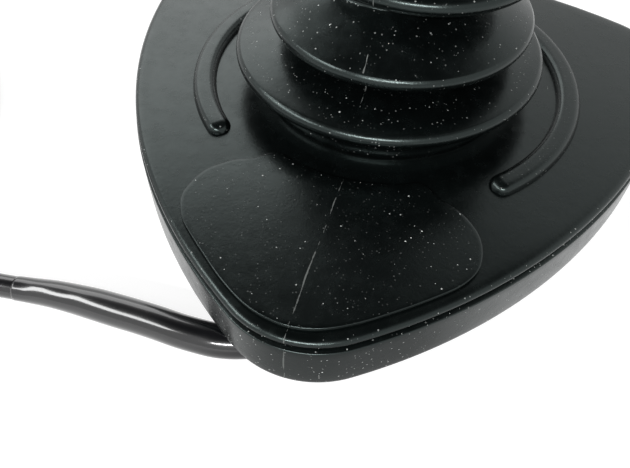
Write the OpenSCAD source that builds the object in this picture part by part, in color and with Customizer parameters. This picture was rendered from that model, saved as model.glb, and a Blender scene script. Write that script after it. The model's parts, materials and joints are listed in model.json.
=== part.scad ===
// Two-axis industrial joystick on a rounded three-cornered base.
// Frame: origin on the stick axis at the standing surface, +Z up, front corner towards -Y.

/* [Base] */
// Distance from the base centre to each rounded corner
corner_reach = 73; // [68:0.5:80]
// Radius of the three corners
corner_r = 20.6; // [17:0.2:24]
// How far behind the base centre each side's arc is struck
side_back = 69.3; // [55:1:90]
// How far the base centre lies in front of the stick axis
base_shift = 3.5; // [2:0.5:6]
// Height of the lower edge of the rubber skirt
skirt_z = 12; // [11:0.5:14]
// Height of the rubber cover from the skirt's edge to its top
cover_h = 13.6; // [13:0.2:16]
// Thickness of the rubber over the chassis
cover_t = 3; // [2:0.25:4]
// How far the skirt's lower edge lies inside the lip
skirt_inset = 1.4; // [0.5:0.1:2]
// How far the chassis lies inside the lip
chassis_inset = 3.8; // [3.4:0.1:4.5]
// How far the pedestal of the bottom cover lies inside the lip
pedestal_inset = 11; // [10:0.5:12]

/* [Top face] */
// Radius of the raised rib's centre line
rib_ring_r = 42.4; // [41:0.2:46]
// Width of the raised rib
rib_w = 5; // [3:0.25:6]
// Angle of the gap in the rib at the front corner
rib_gap = 96; // [70:1:110]
// Height of the raised front panel
panel_h = 0.6; // [0.3:0.1:1]
// Margin between the front panel and the lip
panel_margin = 3.4; // [2.5:0.1:5]
// Corner radius of the front panel
panel_r = 8; // [5:0.5:10]

/* [Bellows] */
// Outer radius of the bellows' lowest fold
fold_r = 34.5; // [33.5:0.25:36]
// Outer radius of the middle fold
fold2_r = 29.5; // [28:0.25:31]
// Outer radius of the top fold
fold3_r = 24.5; // [23:0.25:27]
// Depth of the folds
fold_depth = 8.6; // [7:0.2:9]
// Rise from one fold to the next
fold_pitch = 10.6; // [10:0.1:11]
// Wall of the bellows
bellows_t = 1.5; // [1.2:0.1:1.8]
// Outer radius of the bellows' neck
neck_r = 13; // [12.5:0.25:14]

/* [Gimbal] */
// Height of the two tilt axes
pivot_z = 27; // [26.5:0.25:28]
// Tilt of the stick each way, degrees
tilt = 20; // [10:1:20]
// Diameter of the stick
shaft_d = 8; // [7:0.5:8.5]
// Diameter of the pivot pins
pin_d = 3; // [2.5:0.25:3.5]
// Outer radius of the gimbal ring
ring_r = 13; // [12.5:0.1:13.2]
// Height of the gimbal ring
ring_h = 6; // [5:0.5:6.5]
// Outer radius of the gimbal housing
housing_r = 18.5; // [18:0.25:20]
// Wall of the gimbal housing
housing_wall = 3.3; // [3:0.1:3.5]
// Thickness of the housing's fixing flange
housing_flange_t = 2.5; // [2:0.25:3]

/* [Grip] */
// Length of the grip shells
grip_h = 76; // [72:1:84]
// Radius of the grip's palm swell
palm_r = 18.8; // [18.5:0.2:21]
// Radius of the grip's waist
waist_r = 14.6; // [14.2:0.2:16]
// Radius of the grip's flared skirt
grip_skirt_r = 21; // [20:0.25:22]
// Wall of the grip shells
grip_wall = 2.4; // [2:0.1:2.6]
// Radius of the push button
button_r = 6.8; // [5.5:0.1:7]
// Travel of the push button
button_travel = 2; // [1:0.25:2.5]
// Width of the trigger
trigger_w = 9; // [7:0.5:10]

/* [Cable] */
// Diameter of the cable
cable_d = 5.2; // [4.4:0.2:5.4]
// Diameter of the strain relief's thick end
boot_d = 7; // [6.6:0.2:7.6]
// Diameter across the middle of the stored coil's turns
coil_mid_d = 60; // [54:1:62]

/* [Hidden] */
$fn = 72;

// Fits
fit = 0.05;
running = 0.04;
moving_gap = 0.4;

// Base heights
flange_z = skirt_z + cover_h;
chassis_top = flange_z - cover_t;
chassis_t = 3;
chassis_under = chassis_top - chassis_t;
foot_h = 2;
floor_t = 2.5;
floor_top = foot_h + floor_t;
plate_z = skirt_z + 0.2;
plate_t = 2.2;
plate_top = plate_z + plate_t;
pedestal_wall = 2.4;
rim_wall = 3;

// Base outline: three corner arcs joined by three side arcs, all tangent
corner_c = corner_reach - corner_r;
side_r = norm([corner_c / 2 + side_back, corner_c * sin(60)]) + corner_r;
side_half = atan2(corner_c * sin(60), corner_c / 2 + side_back);
corner_half = 60 - side_half;
corner_steps = 9;
side_steps = 9;

function polar(r, a) = [r * cos(a), r * sin(a)];
function arc(c, r, a0, a1, n) = [for (i = [0:n - 1]) c + polar(r, a0 + (a1 - a0) * i / n)];
function outline(inset) = [for (k = [0:2], part = [0:1])
    let (a = -90 + 120 * k)
    each part == 0
        ? arc(polar(corner_c, a), corner_r - inset, a - corner_half, a + corner_half, corner_steps)
        : arc(polar(-side_back, a + 60), side_r - inset, a + 60 - side_half, a + 60 + side_half,
            side_steps)];
function base_points(inset) = [for (p = outline(inset)) p - [0, base_shift]];
function base_at(a, r) = polar(r, a) - [0, base_shift];

module slab(inset, z0, z1) {
    translate([0, 0, z0]) linear_extrude(z1 - z0) polygon(base_points(inset));
}

// Skin through closed rings of points, each list one ring
module loft(rings) {
    n = len(rings[0]);
    m = len(rings);
    sides = [for (i = [0:m - 2], j = [0:n - 1], t = [0:1])
        let (a = i * n + j, b = i * n + (j + 1) % n)
        t == 0 ? [a, b + n, b] : [a, a + n, b + n]];
    polyhedron([for (r = rings) each r],
        concat(sides, [[for (j = [0:n - 1]) j]], [[for (j = [n - 1:-1:0]) (m - 1) * n + j]]));
}

// Round bar along a route, with its own radius at each point
function along(pts, i) =
    let (n = len(pts), d = pts[min(i + 1, n - 1)] - pts[max(i - 1, 0)]) d / norm(d);
function ring_at(p, t, r, n) =
    let (s = cross(t, [0, 0, 1]) / norm(cross(t, [0, 0, 1])), u = cross(s, t))
    [for (j = [0:n - 1]) p + r * (cos(360 * j / n) * s + sin(360 * j / n) * u)];
module sweep(pts, radii, n) {
    loft([for (i = [0:len(pts) - 1]) ring_at(pts[i], along(pts, i), radii[i], n)]);
}

// Coil spring with closed, flat ends
module coil_spring(r, wire_r, z0, z1, turns, steps = 14, n = 6) {
    count = turns * steps;
    rise = z1 - z0 - 2 * wire_r;
    function climb(t) = t < 1 ? t * 0.12 : t > turns - 1 ? 1 - (turns - t) * 0.12
        : 0.12 + (t - 1) / (turns - 2) * 0.76;
    pts = [for (i = [0:count])
        [r * cos(360 * i / steps), r * sin(360 * i / steps), z0 + wire_r + rise * climb(i / steps)]];
    sweep(pts, [for (p = pts) wire_r], n);
}

module tube(r_out, r_in, z0, z1) {
    difference() {
        translate([0, 0, z0]) cylinder(h = z1 - z0, r = r_out);
        translate([0, 0, z0 - 1]) cylinder(h = z1 - z0 + 2, r = r_in);
    }
}

// Screw with its head's seat at the origin and its shank towards -Z
module screw(d, length, head_d, head_h) {
    translate([0, 0, -length]) cylinder(h = length, r = d / 2, $fn = 24);
    difference() {
        cylinder(h = head_h, r = head_d / 2, $fn = 32);
        translate([0, 0, head_h / 2]) cylinder(h = head_h, r = d * 0.45, $fn = 6);
    }
}

// Screws that hold the bottom cover to the chassis
cover_screw_d = 3;
cover_screw_head = 5.6;
cover_screw_side = 62;
cover_screw_inset = 7.4;
cover_screw_at = [for (k = [0:2], s = [-1, 1])
    let (a = -90 + 120 * k)
    polar(corner_c, a) + polar(corner_r - cover_screw_inset, a + s * cover_screw_side)
        - [0, base_shift]];
cover_screw_len = 6;

// Fixing inserts in the underside
insert_pcd = 70;
insert_h = 6;
insert_r = 3;
insert_bore_r = 1.65;
insert_boss_r = 5;
insert_at = [for (a = [90, 210, 330]) base_at(a, insert_pcd / 2)];

// Anti-slip pad
pad_inset = pedestal_inset + 1.4;
pad_w = 5;
pad_recess = 0.8;

// Cable outlet in the front corner of the pedestal
outlet_turn = 20;
outlet_z = 6.4;
outlet_at = [-6, -65.8, outlet_z];
outlet_boss_r = boot_d / 2 + 0.9;
outlet_boss_len = 8;
boot_seat = 4.5;
chamber_at = 6;
chamber_r = 3.4;
lead_d = 3.2;

module toward_outlet() {
    translate(outlet_at) rotate([0, 0, 180 + outlet_turn]) rotate([0, 90, 0]) children();
}

// Bellows heights and profile
root_z = flange_z;
fold1_z = root_z + 8.4;
fold2_z = fold1_z + fold_pitch;
fold3_z = fold2_z + fold_pitch;
root_r = fold_r - 3.6;
bellows_foot_r = fold_r - 1;
neck_z = fold3_z + 5;
neck_top = neck_z + 7;
valley1_r = fold_r - fold_depth;
valley2_r = fold2_r - fold_depth;
valley_rise = fold_pitch / 2;
edge_r = 0.9;
bellows_flange_t = 1.6;
clamp_in = 24.6;
clamp_out = 28.8;
clamp_r = (clamp_in + clamp_out) / 2;
clamp_screw_len = 6;
clamp_top = chassis_top + bellows_flange_t + 2;

function edge(r, z) = [[r - edge_r, z - edge_r], [r - 0.25, z - edge_r * 0.7], [r, z],
    [r - 0.25, z + edge_r * 0.6], [r - edge_r, z + edge_r]];
function fold_wall(shift) = concat(
    [[root_r - shift, root_z + 2.6]],
    [for (p = edge(fold_r, fold1_z)) p - [shift, 0]],
    [[valley1_r + 1 - shift, fold1_z + valley_rise - 0.6], [valley1_r - shift, fold1_z + valley_rise],
        [valley1_r + 0.8 - shift, fold1_z + valley_rise + 0.8]],
    [for (p = edge(fold2_r, fold2_z)) p - [shift, 0]],
    [[valley2_r + 1 - shift, fold2_z + valley_rise - 1],
        [valley2_r - shift, fold2_z + valley_rise - 0.4],
        [valley2_r + 0.8 - shift, fold2_z + valley_rise + 0.4]],
    [for (p = edge(fold3_r, fold3_z)) p - [shift, 0]],
    [[neck_r + 2.4 - shift, neck_z - 1.4], [neck_r - shift, neck_z + 0.6], [neck_r - shift, neck_top]]);

// Gimbal heights
housing_bottom = 14;
housing_flange_r = 32;
housing_screw_pcd = 56;
housing_in = housing_r - housing_wall;
gate_z = pivot_z + 8;
gate_t = 2;
gate_top = gate_z + gate_t;
gate_half = (gate_top - pivot_z) * tan(tilt) + shaft_d / 2 / cos(tilt) + moving_gap;
gate_corner = 3;
bush_wall = 1.2;
bush_r = pin_d / 2 + bush_wall;
housing_boss_r = bush_r + 2;
housing_boss_x = housing_r + 2;
ring_in = ring_r - 3.4;
hub_r = ring_in - 1;
hub_h = 7;
shaft_bottom = pivot_z - 6;
magnet_z = 12.1;
magnet_h = 3;
magnet_r = 3;
holder_r = 4.8;

// Centring spring and its collar
spring_r = housing_r - 6.3;
spring_wire = 0.8;
spring_seat = spring_r + spring_wire + 0.3;
collar_z = gate_top + 12;
collar_t = 2.4;
collar_r = spring_r + spring_wire + 1;
collar_hub_r = 7.4;
collar_hub_top = collar_z + 5.2;

// Neck sleeve and grip heights
sleeve_r = neck_r - bellows_t - fit;
sleeve_top = neck_top + 1.5;
grip_z = neck_z + 1.6;
grip_top = grip_z + grip_h;
shaft_top = grip_z + 0.776 * grip_h;
core_r = 8;
core_z = sleeve_top;
core_top = grip_z + 0.684 * grip_h;

// Board
board_z = 8;
board_t = 1.6;
board_x = 44;
board_y0 = -27;
board_y1 = 22;
standoff_x = 18;
standoff_y = [-20, 17];
standoff_r = 2.6;
board_screw_d = 2.5;
chip = [5, 5, 1];
connector = [12, 6, 5];
connector_at = [6, -23];

// Grip shape: radius at stations up its height
grip_stations = [[0, grip_skirt_r - 2.4], [2, grip_skirt_r - 0.3], [4, grip_skirt_r],
    [8, grip_skirt_r - 2], [14, waist_r + 1.6], [21, waist_r], [30, waist_r + 0.6],
    [40, palm_r - 1.4], [50, palm_r], [60, palm_r - 0.4],
    [68, palm_r - 2.2], [73, palm_r - 5], [76, palm_r - 8]];
grip_reach = 76;
function knot(i) = grip_stations[max(0, min(len(grip_stations) - 1, i))];
function blend_at(i, t) = let (a = knot(i - 1), b = knot(i), c = knot(i + 1), d = knot(i + 2))
    0.5 * (2 * b + (c - a) * t + (2 * a - 5 * b + 4 * c - d) * t * t
        + (3 * b - a - 3 * c + d) * t * t * t);
grip_curve = [for (i = [0:len(grip_stations) - 2], t = [0, 0.5]) blend_at(i, t)];
function grip_line(inset) = [for (p = concat(grip_curve, [knot(len(grip_stations))]))
    [p[1] - inset, grip_z + p[0] * grip_h / grip_reach]];

// Button and trigger places
bezel_r = button_r + 4;
bezel_t = 2.6;
button_flange = 1.2;
button_z = grip_top - bezel_t - button_flange - 0.05;
button_top = grip_top + 3;
switch_half = 4.6;
switch_top = button_z - button_travel - 2.2;
switch_h = 5;
deck_z = switch_top - switch_h;
deck_t = 2;
trigger_pin_d = 2.5;
trigger_y = -11;
trigger_z = grip_z + 0.8 * grip_h;
trigger_len = 22;
trigger_front = palm_r + 4.6;
slot_half = trigger_w / 2 + moving_gap;
split_gap = 0.03;
screw_boss_r = 3.6;
grip_screw_d = 2.5;
grip_screw_y = palm_r - 6.6;
grip_screw_at = [[grip_screw_y, grip_z + 0.145 * grip_h], [-grip_screw_y, grip_z + 0.145 * grip_h],
    [grip_screw_y - 0.6, grip_z + 0.75 * grip_h]];

// Cable route, on the standing surface beyond the strain relief
cable_z = cable_d / 2 + 0.05;
boot_tip_r = cable_d / 2 + 0.1;
boot_route = [[-2.1, -64.4, 6.4], [-6, -65.8, 6.4], [-9.5, -67.2, 6.4], [-13, -68.5, 6.4],
    [-16.5, -69.2, 6.3], [-20, -69.3, 6.1], [-25, -69.1, 5.8], [-30, -68.6, 5.5], [-35, -68.2, 5.1],
    [-40, -67.9, 4.7], [-45, -67.6, 4.3], [-50, -67.4, 3.8], [-55, -67.4, 3.4], [-60, -67.6, 2.8],
    [-64, -68, cable_z]];
boot_taper = [1, 1, 1, 1, 1, 1, 1, 1, 1, 1, 0.9, 0.65, 0.4, 0.15, 0];
plug_t = 8;
plug_y = -12;
coil_c = [-141, -35];
coil_turn_r = coil_mid_d / 2;
coil_w = 3.8 * cable_d;
coil_h = 2.75 * cable_d;
coil_out = coil_turn_r + coil_w / 2;
coil_enter = coil_turn_r + 1.5 * cable_d;
coil_join = sqrt(pow(coil_out + cable_d / 2 + fit, 2) - pow(coil_enter, 2));
cable_in = coil_c[1] - coil_enter;
cable_route = [[-64.1, -68.01, cable_z], [-67, -68.3, cable_z], [-72, -68.8, cable_z],
    [-80, -69.8, cable_z], [-88, -71, cable_z], [-96, -72, cable_z], [-104, cable_in + 0.1, cable_z],
    [-110, cable_in, cable_z], [coil_c[0] + coil_join, cable_in, cable_z]];
tail_r = coil_turn_r + 2 * cable_d;
tail_x = coil_c[0] - tail_r;
tail_from = coil_c[1] + sqrt(pow(coil_out + fit, 2) - pow(tail_r - cable_d / 2, 2));
plug_z = plug_t / 2 + 0.05;
tail_route = [[tail_x, tail_from, cable_z], [tail_x, tail_from + 3, cable_z + 0.3],
    [tail_x, plug_y - 3, plug_z - 0.1], [tail_x, plug_y - 1, plug_z], [tail_x, plug_y - fit, plug_z]];
plug_w = 16;
plug_len = 26;
plug_tail = 8;
shell_w = 12;
shell_t = 4.5;
shell_len = 18.8;
lead_route = [[-1.6, -64.2, outlet_z], [0, -63.6, 6.4], [1.2, -62.8, 6.5], [2, -61.2, 6.7],
    [3, -58, 7.1], [5.2, -51, 8], [5.8, -44, 9], [6, -38, 10.4], [6, -32, 11.8], [6, -26.2, 12]];

module front_panel() {
    translate([0, 0, flange_z - 0.4]) linear_extrude(panel_h + 0.4)
        offset(r = panel_r, $fn = 48) offset(delta = -panel_r)
            difference() {
                intersection() {
                    polygon(base_points(panel_margin));
                    rotate(-90) polygon([[0, 0], polar(150, 37), [150, 0], polar(150, -37)]);
                    translate([-60, -100]) square([120, 68]);
                }
                circle(r = root_r + 4);
            }
}

module rib() {
    turn = 360 - rib_gap;
    rotate([0, 0, -90 + rib_gap / 2]) {
        translate([0, 0, flange_z]) rotate_extrude(angle = turn, $fn = 120)
            translate([rib_ring_r, 0]) circle(r = rib_w / 2, $fn = 24);
        for (a = [0, turn]) rotate([0, 0, a]) translate([rib_ring_r, 0, flange_z])
            sphere(r = rib_w / 2, $fn = 24);
    }
}

// Rubber moulding that clads the chassis: lip, skirt, ribs and the raised front panel
module rubber_cover() {
    lip = [[skirt_inset, skirt_z], [skirt_inset - 0.1, flange_z - 4.6],
        [skirt_inset + 0.3, flange_z - 3.9], [0.7, flange_z - 3.5], [0.1, flange_z - 2.6],
        [0, flange_z - 1.8], [0.35, flange_z - 0.8],
        [1.1, flange_z - 0.2], [2.2, flange_z]];
    color([0.17, 0.19, 0.19]) {
        difference() {
            union() {
                loft([for (s = lip) [for (p = base_points(s[0])) [p[0], p[1], s[1]]]]);
                rib();
                front_panel();
            }
            slab(chassis_inset, skirt_z - 1, chassis_top);
            translate([0, 0, skirt_z]) cylinder(h = cover_h + 5, r = bellows_foot_r + fit);
        }
    }
}

// Rubber bellows with three folds, clamped at its foot and round its neck
module bellows() {
    color([0.15, 0.16, 0.17]) difference() {
        rotate_extrude($fn = 96) polygon(concat(
            [[clamp_in, chassis_top], [bellows_foot_r, chassis_top], [bellows_foot_r, root_z],
                [bellows_foot_r - 1.6, root_z + 0.5]],
            fold_wall(0),
            [for (i = [len(fold_wall(0)) - 1:-1:0]) fold_wall(bellows_t)[i]],
            [[root_r - bellows_t, chassis_top + bellows_flange_t],
                [clamp_in, chassis_top + bellows_flange_t]]));
        for (i = [0:5]) rotate([0, 0, 60 * i]) translate([clamp_r, 0, chassis_top - 1])
            cylinder(h = 4, r = 1.2, $fn = 24);
    }
}

// Moulded chassis under the rubber: top plate, rim, screw posts
module chassis() {
    color([0.3, 0.31, 0.33]) difference() {
        union() {
            difference() {
                slab(chassis_inset + fit, plate_top, chassis_top);
                slab(chassis_inset + rim_wall, plate_top - 1, chassis_under);
            }
            for (p = cover_screw_at) translate([p[0], p[1], plate_top])
                cylinder(h = chassis_top - plate_top, r = 3.6, $fn = 32);
        }
        translate([0, 0, chassis_under - 1]) cylinder(h = chassis_t + 2, r = clamp_in - 0.6);
        for (p = cover_screw_at) translate([p[0], p[1], plate_top - 1])
            cylinder(h = cover_screw_len, r = cover_screw_d / 2 + fit, $fn = 24);
        for (i = [0:3]) rotate([0, 0, 45 + 90 * i])
            translate([housing_screw_pcd / 2, 0, chassis_under - 1])
                cylinder(h = 3, r = 1.5 + fit, $fn = 24);
        for (i = [0:5]) rotate([0, 0, 60 * i]) translate([clamp_r, 0, chassis_under + 0.4])
            cylinder(h = chassis_t + 2, r = 1 + fit, $fn = 24);
    }
}

// Bottom cover: closing plate, inset pedestal, bosses and the cable outlet
module bottom_cover() {
    color([0.13, 0.13, 0.14]) difference() {
        union() {
            difference() {
                union() {
                    slab(chassis_inset + 0.1, plate_z, plate_top);
                    slab(pedestal_inset, foot_h, plate_top);
                    toward_outlet() translate([0, 0, -outlet_boss_len])
                        cylinder(h = outlet_boss_len, r = outlet_boss_r, $fn = 40);
                }
                slab(pedestal_inset + pedestal_wall, floor_top, plate_top + 1);
            }
            for (p = insert_at) translate([p[0], p[1], foot_h])
                cylinder(h = insert_h + 1.4, r = insert_boss_r, $fn = 40);
            for (x = [-standoff_x, standoff_x], y = standoff_y) translate([x, y, foot_h])
                cylinder(h = board_z - foot_h, r = standoff_r, $fn = 32);
        }
        for (p = insert_at) translate([p[0], p[1], foot_h - 1])
            cylinder(h = insert_h + 1, r = insert_r + fit, $fn = 32);
        difference() {
            slab(pad_inset - fit, foot_h - 1, foot_h + pad_recess);
            slab(pad_inset + pad_w + fit, foot_h - 2, foot_h + pad_recess + 1);
        }
        for (p = cover_screw_at) translate([p[0], p[1], plate_z - 1]) {
            cylinder(h = plate_t + 2, r = cover_screw_d / 2 + 0.2, $fn = 24);
            cylinder(h = 2.2, r = cover_screw_head / 2 + 0.2, $fn = 32);
        }
        for (x = [-standoff_x, standoff_x], y = standoff_y) translate([x, y, board_z - 3])
            cylinder(h = 4, r = board_screw_d / 2 + fit, $fn = 24);
        toward_outlet() translate([0, 0, -outlet_boss_len])
            cylinder(h = outlet_boss_len, r = lead_d / 2 + 0.3, $fn = 32);
        toward_outlet() translate([0, 0, -boot_seat]) cylinder(h = 6, r = boot_d / 2 + fit, $fn = 40);
        toward_outlet() translate([0, 0, -13]) cylinder(h = 13 - chamber_at, r = chamber_r, $fn = 40);
    }
}

module cover_screws() {
    color([0.75, 0.75, 0.77]) for (p = cover_screw_at) translate([p[0], p[1], plate_z + 1.2])
        mirror([0, 0, 1]) screw(cover_screw_d, cover_screw_len, cover_screw_head, 1.2);
}

// Anti-slip pad that follows the pedestal's outline and stands on the desk
module rubber_pad() {
    color([0.08, 0.08, 0.08]) difference() {
        union() {
            slab(pad_inset, 0.5, foot_h + pad_recess);
            slab(pad_inset + 0.5, 0, 0.5);
        }
        slab(pad_inset + pad_w, -1, foot_h + pad_recess + 1);
        for (p = insert_at) translate([p[0], p[1], -1])
            cylinder(h = foot_h + pad_recess + 2, r = insert_boss_r, $fn = 32);
    }
}

// Threaded brass inserts for fixing the base to a desk or bracket
module mount_inserts() {
    color([0.78, 0.62, 0.3]) for (p = insert_at) translate([p[0], p[1], 0])
        tube(insert_r, insert_bore_r, foot_h + 0.1, foot_h + insert_h);
}

module bellows_clamp_ring() {
    color([0.7, 0.71, 0.73]) difference() {
        tube(clamp_out, clamp_in, chassis_top + bellows_flange_t, clamp_top);
        for (i = [0:5]) rotate([0, 0, 60 * i]) translate([clamp_r, 0, chassis_top])
            cylinder(h = 6, r = 1.2, $fn = 24);
    }
}

module clamp_ring_screws() {
    color([0.75, 0.75, 0.77]) for (i = [0:5]) rotate([0, 0, 60 * i])
        translate([clamp_r, 0, clamp_top]) screw(2, clamp_screw_len, 3.8, 1.4);
}

// Housing that carries the gimbal's outer axis, hung under the chassis by its flange
module gimbal_housing() {
    color([0.55, 0.57, 0.6]) difference() {
        union() {
            translate([0, 0, housing_bottom]) cylinder(h = gate_z - housing_bottom, r = housing_r);
            translate([0, 0, chassis_under - housing_flange_t])
                cylinder(h = housing_flange_t, r = housing_flange_r);
            for (s = [0, 180]) rotate([0, 0, s]) translate([0, 0, pivot_z]) rotate([0, 90, 0])
                cylinder(h = housing_boss_x, r = housing_boss_r, $fn = 40);
        }
        translate([0, 0, housing_bottom - 1]) cylinder(h = gate_z, r = housing_in);
        translate([-40, 0, pivot_z]) rotate([0, 90, 0]) cylinder(h = 80, r = bush_r + fit, $fn = 40);
        for (i = [0:3]) rotate([0, 0, 45 + 90 * i]) {
            translate([housing_screw_pcd / 2, 0, housing_bottom]) cylinder(h = 9, r = 1.7, $fn = 24);
            translate([housing_r - housing_wall / 2, 0, gate_z - 5])
                cylinder(h = 6, r = 0.8 + fit, $fn = 24);
        }
    }
}

module housing_screws() {
    color([0.75, 0.75, 0.77]) for (i = [0:3]) rotate([0, 0, 45 + 90 * i])
        translate([housing_screw_pcd / 2, 0, chassis_under - housing_flange_t])
            mirror([0, 0, 1]) screw(3, 4.4, 5.5, 2);
}

module housing_bushes() {
    color([0.72, 0.55, 0.3]) for (s = [0, 180]) rotate([0, 0, s]) translate([0, 0, pivot_z])
        rotate([0, 90, 0]) tube(bush_r, pin_d / 2 + running, housing_in, housing_boss_x);
}

// Plate with the square gate that stops the stick, and the seat of the centring spring
module gate_plate() {
    color([0.62, 0.63, 0.65]) difference() {
        union() {
            translate([0, 0, gate_z]) cylinder(h = gate_t, r = housing_r);
            tube(spring_seat + 1.1, spring_seat, gate_z + 0.5, gate_top + 1);
        }
        translate([0, 0, gate_z - 1]) linear_extrude(gate_t + 3) {
            square([2 * gate_half, 2 * (gate_half - gate_corner)], center = true);
            square([2 * (gate_half - gate_corner), 2 * gate_half], center = true);
            for (x = [-1, 1], y = [-1, 1]) translate([x, y] * (gate_half - gate_corner))
                circle(r = gate_corner, $fn = 40);
        }
        for (i = [0:3]) rotate([0, 0, 45 + 90 * i])
            translate([housing_r - housing_wall / 2, 0, gate_z - 1]) cylinder(h = 5, r = 1, $fn = 24);
    }
}

module gate_screws() {
    color([0.75, 0.75, 0.77]) for (i = [0:3]) rotate([0, 0, 45 + 90 * i])
        translate([housing_r - housing_wall / 2, 0, gate_top]) screw(1.6, 5.4, 2.8, 1);
}

module centring_spring() {
    color([0.8, 0.8, 0.82]) coil_spring(spring_r, spring_wire, gate_top, collar_z, 5);
}

module circuit_board() {
    color([0.05, 0.35, 0.2]) difference() {
        translate([-board_x / 2, board_y0, board_z]) cube([board_x, board_y1 - board_y0, board_t]);
        for (x = [-standoff_x, standoff_x], y = standoff_y) translate([x, y, board_z - 1])
            cylinder(h = 4, r = board_screw_d / 2 + 0.15, $fn = 24);
    }
}

module board_screws() {
    color([0.75, 0.75, 0.77]) for (x = [-standoff_x, standoff_x], y = standoff_y)
        translate([x, y, board_z + board_t]) screw(board_screw_d, 4, 4.4, 1.5);
}

module hall_sensor() {
    color([0.1, 0.1, 0.11]) translate([-chip[0] / 2, -chip[1] / 2, board_z + board_t]) cube(chip);
}

module board_connector() {
    color([0.9, 0.88, 0.8]) translate([connector_at[0] - connector[0] / 2,
        connector_at[1] - connector[1] / 2, board_z + board_t]) cube(connector);
}

module internal_lead() {
    color([0.12, 0.12, 0.13]) sweep(lead_route, [for (p = lead_route) lead_d / 2], 10);
}

// Tapered strain relief moulded on the cable, held in the outlet
module strain_relief() {
    color([0.1, 0.1, 0.11])
        sweep(boot_route, [for (k = boot_taper) boot_tip_r + (boot_d / 2 - boot_tip_r) * k], 16);
}

module cable() {
    color([0.1, 0.1, 0.11]) sweep(cable_route, [for (p = cable_route) cable_d / 2], 10);
}

module cable_coil() {
    chamfer = cable_d * 0.3;
    w = coil_w / 2;
    color([0.1, 0.1, 0.11]) translate([coil_c[0], coil_c[1], 0.1]) rotate_extrude()
        translate([coil_turn_r, 0]) polygon([[-w, chamfer], [chamfer - w, 0], [w - chamfer, 0],
            [w, chamfer], [w, coil_h * 0.5], [w - cable_d, coil_h],
            [cable_d - w, coil_h], [-w, coil_h * 0.5]]);
}

module cable_tail() {
    color([0.1, 0.1, 0.11]) sweep(tail_route, [for (p = tail_route) cable_d / 2], 10);
}

module usb_plug() {
    color([0.1, 0.1, 0.11]) translate([tail_x, plug_y, 0]) {
        translate([0, plug_tail, plug_z]) rotate([90, 0, 0])
            cylinder(h = plug_tail, r1 = 3.6, r2 = cable_d / 2 + 0.1, $fn = 40);
        translate([-plug_w / 2, plug_tail, 0.05]) cube([plug_w, plug_len, plug_t]);
    }
}

module usb_shell() {
    color([0.8, 0.8, 0.82])
        translate([tail_x - shell_w / 2, plug_y + plug_tail + plug_len, plug_z - shell_t / 2])
        difference() {
            cube([shell_w, shell_len, shell_t]);
            translate([0.4, 2, shell_t / 2]) cube([shell_w - 0.8, shell_len, shell_t / 2 - 0.4]);
        }
}

// Ring that tilts about X in the housing and carries the stick's own axis along Y
module gimbal_ring() {
    color([0.68, 0.7, 0.72]) difference() {
        tube(ring_r, ring_in, pivot_z - ring_h / 2, pivot_z + ring_h / 2);
        translate([-20, 0, pivot_z]) rotate([0, 90, 0])
            cylinder(h = 40, r = pin_d / 2 + 0.01, $fn = 32);
        translate([0, 20, pivot_z]) rotate([90, 0, 0]) cylinder(h = 40, r = pin_d / 2 + 0.8, $fn = 32);
    }
}

module ring_pivot_pins() {
    color([0.8, 0.8, 0.82]) for (s = [0, 180]) rotate([0, 0, s]) translate([ring_in + 0.1, 0, pivot_z])
        rotate([0, 90, 0]) cylinder(h = housing_boss_x - ring_in - 0.3, r = pin_d / 2, $fn = 32);
}

module ring_bushes() {
    color([0.72, 0.55, 0.3]) for (s = [0, 180]) rotate([0, 0, s])
        translate([0, -ring_in - 0.2, pivot_z]) rotate([90, 0, 0])
            tube(pin_d / 2 + 0.78, pin_d / 2 + running, 0, ring_r - ring_in - 0.4);
}

// Hub that joins the stick to the gimbal ring
module stick_hub() {
    color([0.68, 0.7, 0.72]) difference() {
        translate([0, 0, pivot_z - hub_h / 2]) cylinder(h = hub_h, r = hub_r);
        translate([0, 0, pivot_z - hub_h]) cylinder(h = 2 * hub_h, r = shaft_d / 2 + 0.02);
        translate([0, 20, pivot_z]) rotate([90, 0, 0]) cylinder(h = 40, r = pin_d / 2 + 0.02, $fn = 32);
    }
}

module hub_pivot_pins() {
    color([0.8, 0.8, 0.82]) for (s = [0, 180]) rotate([0, 0, s])
        translate([0, -shaft_d / 2 - 0.2, pivot_z]) rotate([90, 0, 0])
            cylinder(h = ring_r - shaft_d / 2 - 0.4, r = pin_d / 2, $fn = 32);
}

module stick_shaft() {
    color([0.82, 0.82, 0.84]) translate([0, 0, shaft_bottom])
        cylinder(h = shaft_top - shaft_bottom, r = shaft_d / 2);
}

module magnet_holder() {
    color([0.2, 0.2, 0.22]) difference() {
        translate([0, 0, magnet_z]) cylinder(h = pivot_z - hub_h / 2 - 0.1 - magnet_z, r = holder_r);
        translate([0, 0, shaft_bottom - 0.05]) cylinder(h = 10, r = shaft_d / 2 + 0.02);
        translate([0, 0, magnet_z - 1]) cylinder(h = magnet_h + 1.05, r = magnet_r + 0.03);
    }
}

module magnet() {
    color([0.7, 0.7, 0.72]) translate([0, 0, magnet_z]) cylinder(h = magnet_h, r = magnet_r);
}

module spring_collar() {
    color([0.62, 0.63, 0.65]) difference() {
        union() {
            translate([0, 0, collar_z + 0.05]) cylinder(h = collar_t, r = collar_r);
            translate([0, 0, collar_z + 0.05])
                cylinder(h = collar_hub_top - collar_z - 0.05, r = collar_hub_r);
        }
        translate([0, 0, collar_z - 1]) cylinder(h = 20, r = shaft_d / 2 + 0.02);
    }
}

// Sleeve on the stick that the bellows' neck is clipped to
module neck_sleeve() {
    color([0.2, 0.2, 0.22]) tube(sleeve_r, shaft_d / 2 + 0.02, collar_hub_top + 0.05, sleeve_top);
}

module neck_clip() {
    color([0.75, 0.75, 0.77]) tube(neck_r + 1, neck_r + 0.02, neck_z + 2.6, neck_z + 5.4);
}

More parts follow.
